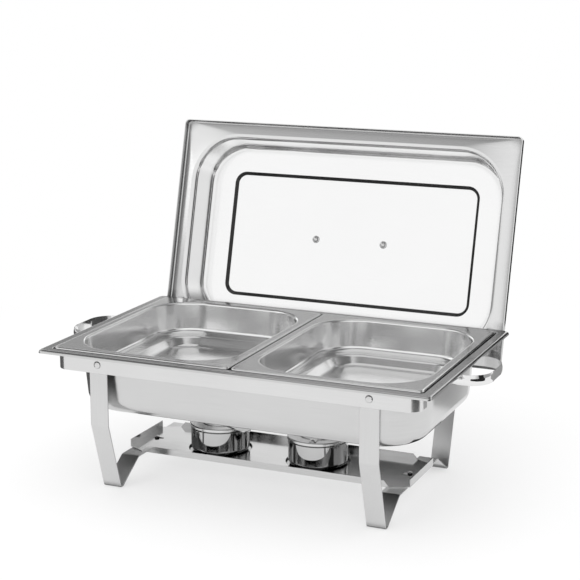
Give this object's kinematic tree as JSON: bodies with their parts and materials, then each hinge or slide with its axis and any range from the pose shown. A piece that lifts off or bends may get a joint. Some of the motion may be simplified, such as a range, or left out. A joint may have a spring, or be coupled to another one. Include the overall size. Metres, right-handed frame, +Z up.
{
  "type": "chafing dish",
  "caption": "Stainless chafing dish with two food pans in a water pan, a folding strip-leg stand, a burner shelf and the lid standing open behind.",
  "frame": {"origin": "on the table, below the middle of the box round the whole dish with its lid open", "axes": "+X along the dish to the right, +Y to the back where the lid stands, +Z up"},
  "size_m": [0.628, 0.479, 0.4662],
  "materials": {
    "frame_steel": "fine brushed",
    "handle_chrome": "polished",
    "rivet_steel": "bright",
    "shelf_steel": "mill",
    "cup_steel": "polished",
    "cover_steel": "satin",
    "water_pan_steel": "satin",
    "food_pan_steel": "bright satin",
    "lid_steel": "bright satin",
    "screw_steel": "bright"
  },
  "bodies": {
    "stand": {"front_rail": "frame_steel", "rear_rail": "frame_steel", "left_handle": "handle_chrome", "right_handle": "handle_chrome", "leg_rivets": "rivet_steel", "left_lid_hook": "frame_steel", "right_lid_hook": "frame_steel", "hook_rivets": "rivet_steel"},
    "left_leg_frame": {"left_leg": "frame_steel", "left_shelf_stud": "rivet_steel"},
    "right_leg_frame": {"right_leg": "frame_steel", "right_shelf_stud": "rivet_steel"},
    "shelf": {"burner_shelf": "shelf_steel"},
    "left_burner": {"left_burner_cup": "cup_steel", "left_burner_cover": "cover_steel", "left_damper_pin": "cover_steel"},
    "right_burner": {"right_burner_cup": "cup_steel", "right_burner_cover": "cover_steel", "right_damper_pin": "cover_steel"},
    "left_damper_plate": {"left_damper": "cover_steel"},
    "right_damper_plate": {"right_damper": "cover_steel"},
    "water_tub": {"water_pan": "water_pan_steel"},
    "left_pan": {"left_food_pan": "food_pan_steel"},
    "right_pan": {"right_food_pan": "food_pan_steel"},
    "lid": {"lid_shell": "lid_steel", "lid_handle": "handle_chrome", "lid_screws": "screw_steel", "lid_washers": "screw_steel"}
  },
  "joints": [
    {"name": "shelf_lift", "type": "slide", "parent": "stand", "child": "shelf", "axis": [0, 0, 1], "range_m": [0, 0.2356]},
    {"name": "left_leg_fold", "type": "hinge", "parent": "stand", "child": "left_leg_frame", "pos_m": [-0.195, -0.06199, 0.183], "axis": [0, -1, 0], "range_deg": [0, 90]},
    {"name": "right_leg_fold", "type": "hinge", "parent": "stand", "child": "right_leg_frame", "pos_m": [0.195, -0.06199, 0.183], "axis": [0, 1, 0], "range_deg": [0, 90]},
    {"name": "water_pan_lift", "type": "slide", "parent": "shelf", "child": "water_tub", "axis": [0, 0, 1], "range_m": [0, 0.15]},
    {"name": "left_food_pan_lift", "type": "slide", "parent": "water_tub", "child": "left_pan", "axis": [0, 0, 1], "range_m": [0, 0.12]},
    {"name": "right_food_pan_lift", "type": "slide", "parent": "water_tub", "child": "right_pan", "axis": [0, 0, 1], "range_m": [0, 0.12]},
    {"name": "left_burner_lift", "type": "slide", "parent": "shelf", "child": "left_burner", "axis": [0, 0, 1], "range_m": [0, 0.03]},
    {"name": "right_burner_lift", "type": "slide", "parent": "shelf", "child": "right_burner", "axis": [0, 0, 1], "range_m": [0, 0.03]},
    {"name": "left_damper_swivel", "type": "hinge", "parent": "left_burner", "child": "left_damper_plate", "pos_m": [-0.12135, -0.04678, 0.07], "axis": [0, 0, 1], "range_deg": [0, 80]},
    {"name": "right_damper_swivel", "type": "hinge", "parent": "right_burner", "child": "right_damper_plate", "pos_m": [0.06532, -0.09498, 0.07], "axis": [0, 0, -1], "range_deg": [0, 80]},
    {"name": "lid_lift", "type": "slide", "parent": "stand", "child": "lid", "axis": [0, 0.2588, 0.9659], "range_m": [0, 0.15]}
  ],
  "couplings": [
    {"joint": "left_leg_fold", "follows": "shelf_lift", "rad_per_m": 6.6667},
    {"joint": "right_leg_fold", "follows": "shelf_lift", "rad_per_m": 6.6667}
  ]
}
